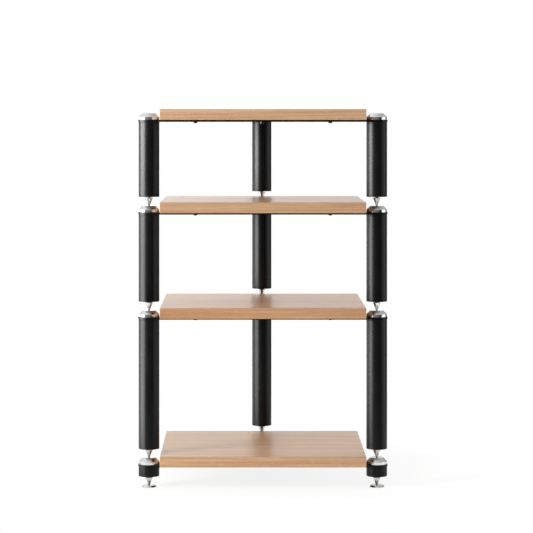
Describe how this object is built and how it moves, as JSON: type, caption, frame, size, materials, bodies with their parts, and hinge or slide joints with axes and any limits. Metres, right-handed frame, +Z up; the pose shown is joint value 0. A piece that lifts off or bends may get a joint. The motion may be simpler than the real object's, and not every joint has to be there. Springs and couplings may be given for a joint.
{
  "type": "hi-fi bench",
  "caption": "Open hi-fi bench: oak shelves on T-shaped black subframes, carried by black round columns on chromed spikes and caps, stacking in modules on floor shoes.",
  "frame": {"origin": "on the floor, in the middle of the overall width and depth", "axes": "+X to the right seen from the front, +Y to the back, +Z up"},
  "size_m": [0.61, 0.455, 0.9231],
  "materials": {
    "oak_veneer": "satin lacquer",
    "satin_black": "satin powder coat",
    "chrome": "polished",
    "black_fastener": "black oxide",
    "zinc_fastener": "zinc plated",
    "brass_insert": "turned"
  },
  "bodies": {
    "base_module": {"base_shelf": "oak_veneer", "base_subframe": "satin_black", "base_cap_nuts": "chrome", "base_front_screws": "black_fastener", "base_rear_screw": "black_fastener", "base_shelf_inserts": "brass_insert", "base_column_studs": "zinc_fastener", "left_foot_collar": "satin_black", "right_foot_collar": "satin_black", "rear_foot_collar": "satin_black"},
    "lower_module": {"lower_shelf": "oak_veneer", "lower_subframe": "satin_black", "lower_cap_nuts": "chrome", "lower_front_screws": "black_fastener", "lower_rear_screw": "black_fastener", "lower_shelf_inserts": "brass_insert", "lower_column_studs": "zinc_fastener", "lower_end_plugs": "satin_black", "lower_left_tube": "satin_black", "lower_right_tube": "satin_black", "lower_rear_tube": "satin_black"},
    "middle_module": {"middle_shelf": "oak_veneer", "middle_subframe": "satin_black", "middle_cap_nuts": "chrome", "middle_front_screws": "black_fastener", "middle_rear_screw": "black_fastener", "middle_shelf_inserts": "brass_insert", "middle_column_studs": "zinc_fastener", "middle_end_plugs": "satin_black", "middle_left_tube": "satin_black", "middle_right_tube": "satin_black", "middle_rear_tube": "satin_black"},
    "upper_module": {"upper_shelf": "oak_veneer", "upper_subframe": "satin_black", "upper_cap_nuts": "chrome", "upper_front_screws": "black_fastener", "upper_rear_screw": "black_fastener", "upper_shelf_inserts": "brass_insert", "upper_column_studs": "zinc_fastener", "upper_end_plugs": "satin_black", "upper_left_tube": "satin_black", "upper_right_tube": "satin_black", "upper_rear_tube": "satin_black"},
    "lower_left_spike_body": {"lower_left_spike": "chrome"},
    "lower_right_spike_body": {"lower_right_spike": "chrome"},
    "lower_rear_spike_body": {"lower_rear_spike": "chrome"},
    "middle_left_spike_body": {"middle_left_spike": "chrome"},
    "middle_right_spike_body": {"middle_right_spike": "chrome"},
    "middle_rear_spike_body": {"middle_rear_spike": "chrome"},
    "upper_left_spike_body": {"upper_left_spike": "chrome"},
    "upper_right_spike_body": {"upper_right_spike": "chrome"},
    "upper_rear_spike_body": {"upper_rear_spike": "chrome"},
    "left_foot_spike_body": {"left_foot_spike": "chrome"},
    "right_foot_spike_body": {"right_foot_spike": "chrome"},
    "rear_foot_spike_body": {"rear_foot_spike": "chrome"},
    "left_floor_shoe_body": {"left_floor_shoe": "chrome"},
    "right_floor_shoe_body": {"right_floor_shoe": "chrome"},
    "rear_floor_shoe_body": {"rear_floor_shoe": "chrome"}
  },
  "joints": [
    {"name": "lower_module_lift", "type": "slide", "parent": "base_module", "child": "lower_module", "axis": [0, 0, 1], "range_m": [0, 0.05]},
    {"name": "middle_module_lift", "type": "slide", "parent": "lower_module", "child": "middle_module", "axis": [0, 0, 1], "range_m": [0, 0.05]},
    {"name": "upper_module_lift", "type": "slide", "parent": "middle_module", "child": "upper_module", "axis": [0, 0, 1], "range_m": [0, 0.05]},
    {"name": "lower_left_spike_adjust", "type": "slide", "parent": "lower_module", "child": "lower_left_spike_body", "axis": [0, 0, 1], "range_m": [0, 0.0015]},
    {"name": "lower_right_spike_adjust", "type": "slide", "parent": "lower_module", "child": "lower_right_spike_body", "axis": [0, 0, 1], "range_m": [0, 0.0015]},
    {"name": "lower_rear_spike_adjust", "type": "slide", "parent": "lower_module", "child": "lower_rear_spike_body", "axis": [0, 0, 1], "range_m": [0, 0.0015]},
    {"name": "middle_left_spike_adjust", "type": "slide", "parent": "middle_module", "child": "middle_left_spike_body", "axis": [0, 0, 1], "range_m": [0, 0.0015]},
    {"name": "middle_right_spike_adjust", "type": "slide", "parent": "middle_module", "child": "middle_right_spike_body", "axis": [0, 0, 1], "range_m": [0, 0.0015]},
    {"name": "middle_rear_spike_adjust", "type": "slide", "parent": "middle_module", "child": "middle_rear_spike_body", "axis": [0, 0, 1], "range_m": [0, 0.0015]},
    {"name": "upper_left_spike_adjust", "type": "slide", "parent": "upper_module", "child": "upper_left_spike_body", "axis": [0, 0, 1], "range_m": [0, 0.0015]},
    {"name": "upper_right_spike_adjust", "type": "slide", "parent": "upper_module", "child": "upper_right_spike_body", "axis": [0, 0, 1], "range_m": [0, 0.0015]},
    {"name": "upper_rear_spike_adjust", "type": "slide", "parent": "upper_module", "child": "upper_rear_spike_body", "axis": [0, 0, 1], "range_m": [0, 0.0015]},
    {"name": "left_foot_adjust", "type": "slide", "parent": "base_module", "child": "left_foot_spike_body", "axis": [0, 0, -1], "range_m": [-0.002, 0.008]},
    {"name": "right_foot_adjust", "type": "slide", "parent": "base_module", "child": "right_foot_spike_body", "axis": [0, 0, -1], "range_m": [-0.002, 0.008]},
    {"name": "rear_foot_adjust", "type": "slide", "parent": "base_module", "child": "rear_foot_spike_body", "axis": [0, 0, -1], "range_m": [-0.002, 0.008]},
    {"name": "left_floor_shoe_lift_off", "type": "slide", "parent": "left_foot_spike_body", "child": "left_floor_shoe_body", "axis": [0, 0, -1], "range_m": [0, 0.02]},
    {"name": "right_floor_shoe_lift_off", "type": "slide", "parent": "right_foot_spike_body", "child": "right_floor_shoe_body", "axis": [0, 0, -1], "range_m": [0, 0.02]},
    {"name": "rear_floor_shoe_lift_off", "type": "slide", "parent": "rear_foot_spike_body", "child": "rear_floor_shoe_body", "axis": [0, 0, -1], "range_m": [0, 0.02]}
  ]
}
